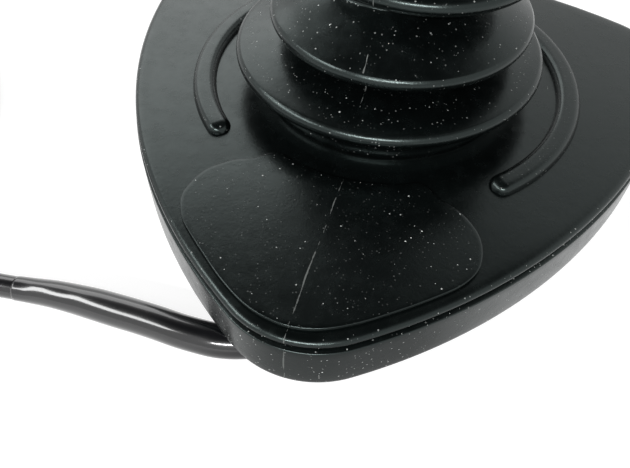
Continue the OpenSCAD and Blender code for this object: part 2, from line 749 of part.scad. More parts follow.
module grip_core() {
    color([0.62, 0.63, 0.65]) tube(core_r, shaft_d / 2 + 0.02, core_z + 0.05, core_top);
}

module grip_nut() {
    color([0.8, 0.8, 0.82]) translate([0, 0, core_top + 0.05]) difference() {
        cylinder(h = 5, r = 7.2, $fn = 6);
        translate([0, 0, -1]) cylinder(h = 8, r = shaft_d / 2 + 0.02);
    }
}

module grip_solid(inset) {
    line = grip_line(inset);
    rotate_extrude($fn = 96) polygon(concat([[0, line[0][1]]], line, [[0, line[len(line) - 1][1]]]));
}

// One moulded half of the grip; side is 1 for +X and -1 for -X
module grip_half(side) {
    difference() {
        union() {
            difference() {
                grip_solid(0);
                difference() {
                    translate([0, 0, grip_z - 1]) cylinder(h = grip_h - bezel_t + 1, r = palm_r + 4);
                    difference() {
                        translate([0, 0, grip_z - 2]) cylinder(h = grip_h + 4, r = palm_r + 5);
                        grip_solid(grip_wall);
                    }
                }
            }
            intersection() {
                grip_solid(0.5);
                union() {
                    for (z = [core_z + 2, core_top - 4]) tube(palm_r, core_r + fit, z, z + 2.4);
                    translate([0, 0, deck_z - deck_t]) cylinder(h = deck_t, r = palm_r);
                    for (p = grip_screw_at) translate([-25, p[0], p[1]]) rotate([0, 90, 0])
                        cylinder(h = 50, r = screw_boss_r, $fn = 32);
                    for (x = [-1, 1]) translate([x * (slot_half + 2), trigger_y, trigger_z])
                        rotate([0, 90, 0]) cylinder(h = 4, r = 3.4, center = true, $fn = 32);
                }
            }
        }
        translate([side > 0 ? -50 : -split_gap, -50, 0]) cube([50 + split_gap, 100, 300]);
        translate([0, 0, grip_top - bezel_t - 6]) cylinder(h = 12, r = bezel_r - 1.4);
        translate([0, 0, grip_top - bezel_t]) cylinder(h = 12, r = bezel_r + 0.8);
        translate([-slot_half, -40, trigger_z - trigger_len - 3])
            cube([2 * slot_half, 40 - core_r + 1, trigger_len + 8]);
        translate([-slot_half - 3.7, trigger_y, trigger_z]) rotate([0, 90, 0])
            cylinder(h = 2 * slot_half + 7.4, r = trigger_pin_d / 2 + running, $fn = 32);
        for (p = grip_screw_at) translate([0, p[0], p[1]]) rotate([0, 90, 0]) {
            translate([0, 0, -7])
                cylinder(h = 40, r = grip_screw_d / 2 + (side > 0 ? 0.2 : fit), $fn = 24);
            translate([0, 0, 6]) cylinder(h = 40, r = 2.5, $fn = 32);
        }
    }
}

module grip_left() {
    color([0.14, 0.14, 0.15]) grip_half(-1);
}

module grip_right() {
    color([0.14, 0.14, 0.15]) grip_half(1);
}

module grip_screws() {
    color([0.3, 0.3, 0.32]) for (p = grip_screw_at) translate([6, p[0], p[1]]) rotate([0, 90, 0])
        screw(grip_screw_d, 12, 4.6, 1.8);
}

module button_bezel() {
    color([0.3, 0.31, 0.33])
        tube(bezel_r + 0.75, button_r + 0.25, grip_top - bezel_t + 0.05, grip_top + 0.8);
}

module push_button() {
    color([0.6, 0.08, 0.07]) {
        translate([0, 0, button_z]) cylinder(h = button_top - button_z - 1, r = button_r);
        translate([0, 0, button_top - 1]) cylinder(h = 1, r1 = button_r, r2 = button_r - 1);
        translate([0, 0, button_z]) cylinder(h = button_flange, r = button_r + 1.2);
        translate([0, 0, switch_top - 1.6])
            cylinder(h = button_z - switch_top + 1.8, r = 1.5, $fn = 32);
    }
}

module button_switch() {
    color([0.1, 0.1, 0.11]) difference() {
        translate([-switch_half, -switch_half, deck_z + 0.05])
            cube([2 * switch_half, 2 * switch_half, switch_h - 0.05]);
        translate([0, 0, deck_z + 0.8]) cylinder(h = switch_h, r = 1.8, $fn = 32);
    }
}

module button_spring() {
    color([0.8, 0.8, 0.82]) coil_spring(2.7, 0.3, switch_top + 0.05, button_z - 0.1, 4, 12, 6);
}

// Trigger under the index finger, hung on its pin
module trigger() {
    y_in = trigger_y - 2.4;
    color([0.16, 0.16, 0.17]) difference() {
        translate([-trigger_w / 2, 0, 0]) rotate([90, 0, 90]) linear_extrude(trigger_w)
            difference() {
                union() {
                    translate([trigger_y, trigger_z]) circle(r = 3, $fn = 32);
                    translate([trigger_y - 6.6, trigger_z - 3]) square([6.6, 6]);
                    translate([-trigger_front, trigger_z - trigger_len])
                        square([trigger_front + y_in, trigger_len - 1]);
                }
                translate([-trigger_front - 17, trigger_z - trigger_len / 2 + 1])
                    circle(r = 19, $fn = 96);
                translate([-trigger_front - 6, trigger_z - 4]) rotate(30) square([14, 20]);
            }
        translate([-20, trigger_y, trigger_z]) rotate([0, 90, 0])
            cylinder(h = 40, r = trigger_pin_d / 2 + running, $fn = 32);
    }
}

module trigger_pin() {
    color([0.8, 0.8, 0.82]) translate([-slot_half - 3.6, trigger_y, trigger_z]) rotate([0, 90, 0])
        cylinder(h = 2 * slot_half + 7.2, r = trigger_pin_d / 2, $fn = 32);
}

module trigger_switch() {
    color([0.1, 0.1, 0.11]) translate([-3.2, -core_r - 2.7, trigger_z - trigger_len + 6.6])
        cube([6.4, 2.6, 6]);
}

module trigger_spring() {
    color([0.8, 0.8, 0.82]) translate([0, -core_r - 0.1, trigger_z - trigger_len + 2.6])
        rotate([90, 0, 0]) coil_spring(1.6, 0.25, 0, 5, 4, 10, 6);
}

rubber_cover();
bellows();
chassis();
bottom_cover();
cover_screws();
rubber_pad();
mount_inserts();
bellows_clamp_ring();
clamp_ring_screws();
gimbal_housing();
housing_screws();
housing_bushes();
gate_plate();
gate_screws();
centring_spring();
circuit_board();
board_screws();
hall_sensor();
board_connector();
internal_lead();
strain_relief();
cable();
cable_coil();
cable_tail();
usb_plug();
usb_shell();
gimbal_ring();
ring_pivot_pins();
ring_bushes();
stick_hub();
hub_pivot_pins();
stick_shaft();
magnet_holder();
magnet();
spring_collar();
neck_sleeve();
neck_clip();
grip_core();
grip_nut();
grip_left();
grip_right();
grip_screws();
button_bezel();
button_switch();
trigger_switch();
trigger_pin();
push_button();
button_spring();
trigger();
trigger_spring();
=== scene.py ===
import json
import math
import bpy
import bmesh
from mathutils import Matrix, Vector, geometry, noise


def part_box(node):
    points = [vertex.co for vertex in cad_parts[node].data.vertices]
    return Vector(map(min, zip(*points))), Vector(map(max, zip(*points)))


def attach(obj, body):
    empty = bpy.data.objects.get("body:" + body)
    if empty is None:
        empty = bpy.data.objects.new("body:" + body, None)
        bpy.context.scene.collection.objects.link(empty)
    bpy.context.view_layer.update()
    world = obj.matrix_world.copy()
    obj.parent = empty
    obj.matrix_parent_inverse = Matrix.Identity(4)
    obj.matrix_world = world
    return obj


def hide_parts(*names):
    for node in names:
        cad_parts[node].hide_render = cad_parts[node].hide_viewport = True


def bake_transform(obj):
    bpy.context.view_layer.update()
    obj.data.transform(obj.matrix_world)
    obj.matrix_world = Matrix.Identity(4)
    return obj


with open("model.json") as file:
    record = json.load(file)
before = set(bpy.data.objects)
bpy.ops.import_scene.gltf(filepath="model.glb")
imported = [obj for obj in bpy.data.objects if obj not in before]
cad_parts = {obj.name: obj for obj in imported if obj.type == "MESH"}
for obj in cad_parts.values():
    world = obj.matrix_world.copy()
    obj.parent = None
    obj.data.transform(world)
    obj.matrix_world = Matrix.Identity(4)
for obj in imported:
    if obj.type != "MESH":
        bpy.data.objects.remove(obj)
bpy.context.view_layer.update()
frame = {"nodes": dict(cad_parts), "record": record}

# The tables and shapes below are in millimetres.
MM = 0.001

# ---------------------------------------------------------------- base: heights and outline
COVER_HIGH = 13.6
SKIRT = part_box("rubber_cover")[0][2] / MM
TOP = SKIRT + COVER_HIGH
FRONT = -90  # the direction of the base's front corner, in degrees

# the base outline, as in the part's source: three corner arcs joined by three side arcs
CORNER_REACH, CORNER_R, SIDE_BACK, BASE_SHIFT = 73.0, 20.6, 69.3, 3.5
CORNER_C = CORNER_REACH - CORNER_R
CORNER_X, CORNER_Y = CORNER_C / 2 + SIDE_BACK, CORNER_C * math.sin(math.radians(60))
SIDE_R = math.hypot(CORNER_X, CORNER_Y) + CORNER_R
SIDE_HALF = math.degrees(math.atan2(CORNER_Y, CORNER_X))
CORNER_HALF = 60 - SIDE_HALF
CORNER_POINTS, SIDE_POINTS = 40, 56


def polar(r, degrees):
    return (r * math.cos(math.radians(degrees)), r * math.sin(math.radians(degrees)))


def arc(centre, r, middle, half, count):
    """Evenly spread points of an arc, half degrees to each side of its middle, without its last point."""
    for i in range(count):
        x, y = polar(r, middle - half + 2 * half * i / count)
        yield (centre[0] + x, centre[1] + y - BASE_SHIFT)


def outline(inset):
    """The base outline, moved inwards by inset."""
    pts = []
    for k in range(3):
        corner = FRONT + 120 * k
        side = corner + 60
        pts += arc(polar(CORNER_C, corner), CORNER_R - inset, corner, CORNER_HALF, CORNER_POINTS)
        pts += arc(polar(-SIDE_BACK, side), SIDE_R - inset, side, SIDE_HALF, SIDE_POINTS)
    return pts


# ---------------------------------------------------------------- camera, fitted to the outlines of the base
SENSOR_WIDTH = 36.0
FOCAL_LENGTH_PX, PICTURE_WIDTH_PX = 658.3, 630
CAMERA_OVER_SKIRT = (19.93, -129.49, 108.54)
CAMERA_RIGHT = Vector((0.95793, 0.28659, 0.01533))
CAMERA_UP = Vector((-0.22880, 0.73033, 0.64364))
CAMERA_BACK = Vector((0.17326, -0.62007, 0.76518))


def link(ob):
    bpy.context.scene.collection.objects.link(ob)
    return ob


def add_camera():
    data = bpy.data.cameras.new("camera")
    data.sensor_fit = "HORIZONTAL"
    data.sensor_width = SENSOR_WIDTH
    data.lens = FOCAL_LENGTH_PX / PICTURE_WIDTH_PX * SENSOR_WIDTH
    data.clip_start = 0.01
    data.clip_end = 50
    camera = link(bpy.data.objects.new("camera", data))
    at = (Vector(CAMERA_OVER_SKIRT) + Vector((0, 0, SKIRT))) * MM
    turn = Matrix((CAMERA_RIGHT, CAMERA_UP, CAMERA_BACK)).transposed().to_4x4()
    camera.matrix_world = Matrix.Translation(at) @ turn
    bpy.context.scene.camera = camera


add_camera()


# ---------------------------------------------------------------- shapes
def piece(name, verts, faces, mat, body="base", slot=None, smooth=True):
    """A mesh object from points in millimetres, which rides on body unless that is None."""
    me = bpy.data.meshes.new(name)
    me.from_pydata([tuple(c * MM for c in v) for v in verts], [], faces)
    me.validate()
    bm = bmesh.new()
    bm.from_mesh(me)
    bmesh.ops.recalc_face_normals(bm, faces=bm.faces)
    bm.to_mesh(me)
    bm.free()
    for face in me.polygons:
        face.use_smooth = smooth
    me.materials.append(mat)
    ob = link(bpy.data.objects.new(name, me))
    if body:
        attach(ob, body)
    return ob


def skin(rings, closed=True, cap_start=False, cap_end=False, loop=False):
    """Points and faces of a skin over rings of equal length; loop joins the last ring to the first."""
    count, per = len(rings), len(rings[0])
    verts = [v for ring in rings for v in ring]
    faces = []
    for i in range(count if loop else count - 1):
        this, following = i * per, (i + 1) % count * per
        for j in range(per if closed else per - 1):
            k = (j + 1) % per
            faces.append((this + j, this + k, following + k, following + j))
    if cap_start:
        faces.append(tuple(range(per - 1, -1, -1)))
    if cap_end:
        faces.append(tuple((count - 1) * per + j for j in range(per)))
    return verts, faces


def smoothstep(a, b, x):
    t = max(0.0, min(1.0, (x - a) / (b - a)))
    return t * t * (3 - 2 * t)


def spline(pts, per, closed=False):
    """A smooth Catmull-Rom line through the points, with per steps between each two."""
    count = len(pts)
    line = []
    for i in range(count if closed else count - 1):
        near = range(i - 1, i + 3)
        p0, p1, p2, p3 = (Vector(pts[k % count if closed else min(max(k, 0), count - 1)]) for k in near)
        for k in range(per):
            t = k / per
            line.append(0.5 * (2 * p1 + (p2 - p0) * t + (2 * p0 - 5 * p1 + 4 * p2 - p3) * t * t
                               + (3 * p1 - p0 - 3 * p2 + p3) * t ** 3))
    if not closed:
        line.append(Vector(pts[-1]))
    return line


# ---------------------------------------------------------------- shader nodes
MAT = {}


def new_mat(name):
    """A material with an output and a Principled shader, kept in MAT under its name."""
    mat = bpy.data.materials.new(name)
    mat.use_nodes = True
    nt = mat.node_tree
    nt.nodes.clear()
    out = nt.nodes.new("ShaderNodeOutputMaterial")
    bsdf = nt.nodes.new("ShaderNodeBsdfPrincipled")
    nt.links.new(bsdf.outputs[0], out.inputs[0])
    MAT[name] = mat
    return nt, bsdf.inputs


def node(nt, kind, **props):
    made = nt.nodes.new(kind)
    for key, value in props.items():
        setattr(made, key, value)
    return made


def feed(nt, socket, value):
    """Links an output to the socket, or writes a constant on it."""
    if isinstance(value, bpy.types.NodeSocket):
        nt.links.new(value, socket)
    elif socket.type == "RGBA":
        socket.default_value = (*value, 1)
    else:
        socket.default_value = value


def maths(nt, operation, *values, clamp=False):
    made = node(nt, "ShaderNodeMath", operation=operation, use_clamp=clamp)
    for i, value in enumerate(values):
        feed(nt, made.inputs[i], value)
    return made.outputs[0]


def mix_col(nt, factor, a, b):
    """A mix of two colours, which are sockets 6 and 7 of the node; 2 is the mixed colour."""
    made = node(nt, "ShaderNodeMix", data_type="RGBA", blend_type="MIX")
    for i, value in ((0, factor), (6, a), (7, b)):
        feed(nt, made.inputs[i], value)
    return made.outputs[2]


def split_xyz(nt, vec):
    made = node(nt, "ShaderNodeSeparateXYZ")
    nt.links.new(vec, made.inputs[0])
    return made.outputs


def object_coords(nt, scale=(1, 1, 1), rotation=(0, 0, 0)):
    coords = node(nt, "ShaderNodeTexCoord")
    mapping = node(nt, "ShaderNodeMapping")
    mapping.inputs["Rotation"].default_value = rotation
    mapping.inputs["Scale"].default_value = scale
    nt.links.new(coords.outputs["Object"], mapping.inputs[0])
    return mapping.outputs[0]


def streak_coords(nt, degrees, squeeze):
    """Object coordinates turned about Z and squeezed along one way, for scratches and short threads."""
    return object_coords(nt, (1.0, squeeze, 1.0), (0.3, 0.2, math.radians(degrees)))


def noise_tex(nt, vec, scale, detail, rough, distortion=0.0):
    made = node(nt, "ShaderNodeTexNoise")
    nt.links.new(vec, made.inputs["Vector"])
    made.inputs["Scale"].default_value = scale
    made.inputs["Detail"].default_value = detail
    made.inputs["Roughness"].default_value = rough
    made.inputs["Distortion"].default_value = distortion
    return made.outputs[0]


def ramp(nt, factor, stops, interpolation="LINEAR"):
    """A colour ramp through stops of (position, grey or colour)."""
    made = node(nt, "ShaderNodeValToRGB")
    made.color_ramp.interpolation = interpolation
    elements = made.color_ramp.elements
    while len(elements) > 1:
        elements.remove(elements[-1])
    elements[0].position = stops[0][0]
    for position, _ in stops[1:]:
        elements.new(position)
    for element, (_, colour) in zip(elements, stops):
        element.color = (*colour, 1) if isinstance(colour, tuple) else (colour, colour, colour, 1)
    nt.links.new(factor, made.inputs[0])
    return made.outputs[0]


def bump(nt, height, strength, distance, normal=None):
    made = node(nt, "ShaderNodeBump")
    made.inputs["Strength"].default_value = strength
    made.inputs["Distance"].default_value = distance
    nt.links.new(height, made.inputs["Height"])
    if normal is not None:
        nt.links.new(normal, made.inputs["Normal"])
    return made.outputs[0]


def shades(base, low, high):
    """Ramp stops from a darker to a lighter shade of a colour."""
    return [(0.3, tuple(c * low for c in base)), (0.7, tuple(min(1, c * high) for c in base))]


# ---------------------------------------------------------------- materials
RUBBER_BLACK = (0.0013, 0.0019, 0.0019)
RUBBER_TINT = (0.82, 1.0, 0.97)
RUBBER_SPECULAR = 0.44
LINT = (0.45, 0.47, 0.45)
FINE_DUST = (0.55, 0.57, 0.55)
DUST = (0.72, 0.74, 0.72)
COARSE_DUST = (0.85, 0.87, 0.85)
DUSTY_ROUGHNESS = (0.9, 0.9, 0.9)
SPECK_LEAST, SPECK_SPREAD = 0.5, 0.7  # the smallest speck and the spread, in shares of the size
SPECK_FADE = 4.5  # the power that leaves most specks faint and a few bright
CREASE = TOP - 2.6  # dust shows more strongly below this height, on the wall
WALL_GAIN = 2.5
SEAM = (0.13, 0.135, 0.13)
SEAM_SHOWS = 0.8
SEAM_WIDTH, SEAM_WANDER = 0.15 * MM, 1.1 * MM


def specks(nt, vec, scale, size, keep, seed=0.0):
    """Mask of sparse small round specks: one in some of the cells of a Voronoi pattern."""
    moved = node(nt, "ShaderNodeVectorMath", operation="ADD")
    moved.inputs[1].default_value = (seed, seed * 0.7, seed * 1.3)
    nt.links.new(vec, moved.inputs[0])
    cells = node(nt, "ShaderNodeTexVoronoi")
    cells.inputs["Scale"].default_value = scale
    cells.inputs["Randomness"].default_value = 1.0
    nt.links.new(moved.outputs[0], cells.inputs["Vector"])
    draws = node(nt, "ShaderNodeSeparateColor")
    nt.links.new(cells.outputs["Color"], draws.inputs[0])
    radius = maths(nt, "MULTIPLY_ADD", draws.outputs[1], size * SPECK_SPREAD, size * SPECK_LEAST)
    near = maths(nt, "LESS_THAN", cells.outputs["Distance"], radius)
    chosen = maths(nt, "LESS_THAN", draws.outputs[0], keep)
    faint = maths(nt, "POWER", draws.outputs[2], SPECK_FADE)
    return maths(nt, "MULTIPLY", maths(nt, "MULTIPLY", near, chosen), faint)


def parting_line(nt, vec, reach):
    """Mask of the thin, broken line that a mould's halves leave on x = 0, between the y values of reach."""
    x, y, z = split_xyz(nt, vec)
    along = node(nt, "ShaderNodeCombineXYZ")
    nt.links.new(y, along.inputs[1])
    nt.links.new(z, along.inputs[2])
    wander = noise_tex(nt, along.outputs[0], 60, 3, 0.6)
    offset = maths(nt, "MULTIPLY_ADD", wander, SEAM_WANDER, -SEAM_WANDER / 2)
    distance = maths(nt, "ABSOLUTE", maths(nt, "ADD", x, offset))
    broken = ramp(nt, noise_tex(nt, along.outputs[0], 240, 3, 0.7), [(0.42, 0.0), (0.6, 1.0)])
    near = maths(nt, "LESS_THAN", distance, maths(nt, "MULTIPLY", broken, SEAM_WIDTH))
    low, high = reach
    within = maths(nt, "COMPARE", y, (low + high) / 2, (high - low) / 2)
    return maths(nt, "MULTIPLY", near, within)


def dusted(nt, vec, colour, amount):
    """The colour with lint and three sizes of dust on it, and the mask of how far they stand out."""
    threads = specks(nt, streak_coords(nt, 52, 0.13), scale=520, size=0.036, keep=0.14, seed=5.0)
    more = specks(nt, streak_coords(nt, -38, 0.16), scale=480, size=0.034, keep=0.12, seed=9.0)
    threads = maths(nt, "MAXIMUM", threads, more)
    clump = ramp(nt, noise_tex(nt, vec, 55, 3, 0.6), [(0.4, 0.4), (0.65, 1.0)])
    on_wall = maths(nt, "LESS_THAN", split_xyz(nt, vec)[2], CREASE * MM)
    gain = maths(nt, "MULTIPLY_ADD", on_wall, WALL_GAIN, 1.0)
    medium = specks(nt, vec, scale=600, size=0.085, keep=maths(nt, "MULTIPLY", clump, 1.2 * amount))
    medium = maths(nt, "MULTIPLY", medium, gain, clamp=True)
    fine = specks(nt, vec, scale=1300, size=0.19, keep=maths(nt, "MULTIPLY", clump, 1.3 * amount), seed=3.1)
    fine = maths(nt, "MULTIPLY", fine, gain, clamp=True)
    coarse = specks(nt, vec, scale=230, size=0.042, keep=0.9 * amount, seed=7.7)
    coarse = maths(nt, "MULTIPLY", coarse, 3.0, clamp=True)
    colour = mix_col(nt, maths(nt, "MULTIPLY", threads, 1.2 * amount, clamp=True), colour, LINT)
    colour = mix_col(nt, maths(nt, "MULTIPLY", fine, 0.6), colour, FINE_DUST)
    colour = mix_col(nt, maths(nt, "MULTIPLY", medium, 0.8), colour, DUST)
    colour = mix_col(nt, coarse, colour, COARSE_DUST)
    bright = maths(nt, "MAXIMUM", medium, coarse)
    return colour, maths(nt, "MAXIMUM", bright, maths(nt, "MULTIPLY", fine, 0.5))


def rubber(name, base=RUBBER_BLACK, rough=0.23, dust=1.0, parting=None):
    """Moulded rubber; parting is the range of y, in metres, in which it shows a parting line."""
    nt, shader = new_mat(name)
    vec = object_coords(nt)
    broad = noise_tex(nt, vec, 38, 5, 0.6)
    mid = noise_tex(nt, vec, 300, 4, 0.62)
    fine = noise_tex(nt, vec, 1500, 3, 0.65)
    haze = ramp(nt, mid, [(0.5, 0.0), (0.8, 0.5)])
    colour = mix_col(nt, haze, ramp(nt, broad, shades(base, 0.7, 1.4)), tuple(c * 2.2 for c in base))
    scratch = noise_tex(nt, streak_coords(nt, 35, 0.06), 1500, 2, 0.5, 0.2)
    scratch = ramp(nt, scratch, [(0.70, 0.0), (0.78, 0.35)])
    colour = mix_col(nt, scratch, colour, tuple(c * 3 + 0.008 for c in base))
    colour, rise = dusted(nt, vec, colour, dust)
    if parting is not None:
        seam = maths(nt, "MULTIPLY", parting_line(nt, vec, parting), SEAM_SHOWS)
        colour = mix_col(nt, seam, colour, SEAM)
        rise = maths(nt, "MAXIMUM", rise, seam)
    roughness = ramp(nt, mid, [(0.3, rough - 0.03), (0.7, rough + 0.07)])
    feed(nt, shader["Base Color"], colour)
    feed(nt, shader["Roughness"], mix_col(nt, rise, roughness, DUSTY_ROUGHNESS))
    feed(nt, shader["Specular IOR Level"], RUBBER_SPECULAR)
    feed(nt, shader["Specular Tint"], RUBBER_TINT)
    grain = bump(nt, fine, 0.22, 0.08 * MM)
    grain = bump(nt, mid, 0.09, 0.3 * MM, grain)
    feed(nt, shader["Normal"], bump(nt, rise, 0.5, 0.12 * MM, grain))


def plastic(name, base, rough, grain=900, relief=0.12, scratch=0.15, coat=0.0):
    nt, shader = new_mat(name)
    vec = object_coords(nt)
    broad = noise_tex(nt, vec, 60, 4, 0.6)
    fine = noise_tex(nt, vec, grain, 2, 0.55)
    lines = noise_tex(nt, object_coords(nt, (1.0, 1.0, 0.1)), 1100, 2, 0.5, 0.4)
    lines = ramp(nt, lines, [(0.68, 0.0), (0.76, scratch)])
    colour = ramp(nt, broad, shades(base, 0.82, 1.18))
    colour = mix_col(nt, lines, colour, tuple(min(1, c * 2 + 0.03) for c in base))
    feed(nt, shader["Base Color"], colour)
    feed(nt, shader["Roughness"], ramp(nt, broad, [(0.3, rough - 0.04), (0.75, rough + 0.08)]))
    feed(nt, shader["Normal"], bump(nt, fine, relief, 0.2 * MM))
    if coat:
        feed(nt, shader["Coat Weight"], coat)
        feed(nt, shader["Coat Roughness"], 0.08)


def metal(name, base, rough, brushed=(1, 1, 0.06), grain=700, spread=0.12, relief=0.08):
    """Metal with fine lines that brushed draws out along one way."""
    nt, shader = new_mat(name)
    broad = noise_tex(nt, object_coords(nt), 120, 4, 0.6)
    line = noise_tex(nt, object_coords(nt, brushed), grain, 3, 0.6)
    feed(nt, shader["Base Color"], ramp(nt, broad, shades(base, 1 - spread, 1 + spread)))
    feed(nt, shader["Metallic"], 1.0)
    feed(nt, shader["Roughness"], ramp(nt, line, [(0.3, max(0.04, rough - 0.08)), (0.7, rough + 0.1)]))
    feed(nt, shader["Normal"], bump(nt, line, relief, 0.1 * MM))


EVEN = (1, 1, 1)
rubber("rubber_black", parting=(-0.2, -0.037))
rubber("rubber_bellows", parting=(-0.0272, -0.021))
rubber("pad_rubber", base=(0.02, 0.02, 0.02), rough=0.6, dust=0.4)
plastic("black_plastic", (0.022, 0.022, 0.024), 0.48)
plastic("grip_black", (0.02, 0.021, 0.023), 0.5, grain=520, relief=0.35)
metal("steel", (0.58, 0.58, 0.6), 0.3)
metal("spring_steel", (0.5, 0.5, 0.52), 0.22, EVEN)
metal("plated_steel", (0.75, 0.75, 0.76), 0.14, (1, 0.1, 1), relief=0.03)
metal("zinc_casting", (0.42, 0.43, 0.45), 0.5, EVEN, grain=900, spread=0.1, relief=0.3)
metal("aluminium", (0.56, 0.57, 0.59), 0.34)
metal("brass", (0.72, 0.55, 0.28), 0.28, EVEN)
plastic("board_green", (0.02, 0.16, 0.08), 0.35)
plastic("chip_black", (0.03, 0.03, 0.03), 0.45)
plastic("white_plastic", (0.75, 0.73, 0.66), 0.4)
plastic("cable_pvc", (0.0025, 0.0027, 0.0034), 0.16, grain=500, relief=0.02, scratch=0.02, coat=0.8)
plastic("plug_black", (0.016, 0.016, 0.018), 0.4)
plastic("button_red", (0.42, 0.02, 0.015), 0.25, scratch=0.08, coat=0.5)

# the CAD's own pieces wear the material that is named after their slot
for part in frame["record"]["subparts"]:
    ob = frame["nodes"][part["node"]]
    mat = MAT[part["material_slot"]]
    if not ob.material_slots:
        ob.data.materials.append(mat)
    for slot in ob.material_slots:
        slot.material = mat

# ---------------------------------------------------------------- rubber moulding of the base
RUBBER = MAT["rubber_black"]

# its side, as insets from the outline: the skirt's lower edge with heights above it, from the inside
# out, then the wall, the crease and the lip with depths below the top face
SKIRT_EDGE = [(3.6, 0.5), (3.4, 0.1), (2.8, 0), (1.2, 0), (0.6, 0.15), (0.3, 0.5), (0.2, 1.2), (0.15, 3),
              (0.1, 6)]
WALL = [(0.1, 4.6), (0.1, 3.2), (0.14, 2.98)]
CREASE_AND_LIP = [(0.3, 2.88), (0.8, 2.75), (1.5, 2.55), (2.1, 2.3), (2.25, 2.05), (2.0, 1.88), (1.4, 1.78),
                  (0.85, 1.64), (0.5, 1.4), (0.38, 1.1), (0.45, 0.78), (0.7, 0.46), (1.1, 0.2), (1.65, 0.05),
                  (2.4, 0)]
HOLE_R, HOLE_DEPTH, HOLE_TAPER = 28.6, 2.9, 0.999
FACE_STEPS = 26
WAVES, WAVE_SCALE = 0.12, 0.04  # a slight waviness of the top face


def cover_rings():
    """Rings up the side of the cover, over its top face, and down into the hole for the bellows."""
    side = [(inset, SKIRT + up) for inset, up in SKIRT_EDGE]
    side += [(inset, TOP - down) for inset, down in WALL + CREASE_AND_LIP]
    rings = [[(x, y, z) for x, y in outline(inset)] for inset, z in side]
    lip = rings[-1]
    for i in range(1, FACE_STEPS + 1):
        t = i / FACE_STEPS
        ring = []
        for lip_x, lip_y, _ in lip:
            angle = math.atan2(lip_y, lip_x)
            x = lip_x + (HOLE_R * math.cos(angle) - lip_x) * t
            y = lip_y + (HOLE_R * math.sin(angle) - lip_y) * t
            wave = noise.noise(Vector((x * WAVE_SCALE, y * WAVE_SCALE, 1.0)))
            ring.append((x, y, TOP + WAVES * wave))
        rings.append(ring)
    rings.append([(x * HOLE_TAPER, y * HOLE_TAPER, TOP - HOLE_DEPTH) for x, y, _ in rings[-1]])
    return rings


cover = piece("rubber_cover_moulding", *skin(cover_rings()), RUBBER)
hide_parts("rubber_cover")

# the rib round the bellows: an arc that is open at the front, with a fairly flat crown and rounded ends
RIB_R, RIB_HALF, RIB_HIGH, RIB_SUNK = 42.4, 2.75, 2.0, 0.2
RIB_FLAT, RIB_CROWN, RIB_END_FALL = 4.2, 0.7, 0.9
RIB_FROM, RIB_TO = FRONT + 46.7, FRONT + 360 - 45.8
RIB_POINTS, RIB_STEPS = 33, 150
RIB_END, RIB_END_STEPS, RIB_THINNEST = 2.6, 8, 0.02


def rib_section():
    """Distance across the rib, and height, from its inner foot to its outer one."""
    for i in range(RIB_POINTS):
        t = -1 + 2 * i / (RIB_POINTS - 1)
        yield t * RIB_HALF, RIB_HIGH * (1 - abs(t) ** RIB_FLAT) ** RIB_CROWN


def rib_ring(degrees, past=0.0):
    """The rib's section at an angle, or past it, where -1 and 1 are the tips of its rounded ends."""
    squeeze = max(RIB_THINNEST, math.sqrt(1 - past ** 2))
    out_x, out_y = polar(1, degrees)
    shift = RIB_END * past
    ring = []
    for across, high in rib_section():
        r = RIB_R + across * squeeze
        z = TOP - RIB_SUNK + high * squeeze ** RIB_END_FALL
        ring.append((r * out_x - out_y * shift, r * out_y + out_x * shift, z))
    return ring


rib_rings = [rib_ring(RIB_FROM, -i / RIB_END_STEPS) for i in range(RIB_END_STEPS, 0, -1)]
rib_rings += [rib_ring(RIB_FROM + (RIB_TO - RIB_FROM) * i / RIB_STEPS) for i in range(RIB_STEPS + 1)]
rib_rings += [rib_ring(RIB_TO, i / RIB_END_STEPS) for i in range(1, RIB_END_STEPS + 1)]
piece("rubber_rib", *skin(rib_rings, closed=False), RUBBER, slot="rubber_black")

# the raised land in the front corner: its edge, which is closed by an arc round the bellows
LAND = [(-19.5, -37.3), (-22.9, -38.9), (-25.2, -40.8), (-27.6, -43.6), (-28.9, -47.4), (-29.2, -51.6),
        (-27.2, -56.2), (-23.9, -59.8), (-19.1, -64.1), (-14.5, -68.0), (-9.2, -71.5), (-4.4, -73.3),
        (0.4, -73.8), (5.4, -72.8), (10.8, -70.0), (16.7, -65.7), (22.5, -60.9), (27.0, -56.5),
        (29.2, -52.2), (29.2, -47.6), (27.8, -43.8), (25.3, -40.8), (22.6, -38.8), (19.2, -37.2)]
LAND_ARC_R = 37.6
LAND += [polar(LAND_ARC_R, degrees) for degrees in (-66, -74, -82, -90, -98, -106, -114)]
# the section of that edge, which is undercut: distance inwards, and height above the top face
LAND_EDGE = [(-0.02, -0.45), (0.26, 0.02), (0.4, 0.25), (0.28, 0.5), (0.06, 0.64), (0.0, 0.75), (0.04, 0.85),
             (0.16, 0.93), (0.4, 0.97), (0.9, 0.99)]


def land_rings():
    """Rings up the land's undercut edge."""
    edge = spline(LAND, per=8, closed=True)
    inward = []
    for i in range(len(edge)):
        along = (edge[(i + 1) % len(edge)] - edge[i - 1]).normalized()
        inward.append(Vector((-along.y, along.x)))
    for inset, up in LAND_EDGE:
        yield [(p.x + d.x * inset, p.y + d.y * inset, TOP + up) for p, d in zip(edge, inward)]


piece("rubber_front_land", *skin(list(land_rings()), cap_end=True), RUBBER, slot="rubber_black")

# ---------------------------------------------------------------- bellows
FOLD_1, FOLD_2, FOLD_3 = TOP + 8.4, TOP + 17.7, TOP + 31.4
FOLD_1_R, FOLD_2_R, FOLD_3_R = 34.5, 28.4, 24.0
FOOT, VALLEY_2 = TOP + 0.5, FOLD_2 + 8.5
FOLD_ROUND = 1.7
FOLD_UNDERSIDE, FOLD_STEPS = -70, 7  # degrees from a fold's middle, and steps from there to its end
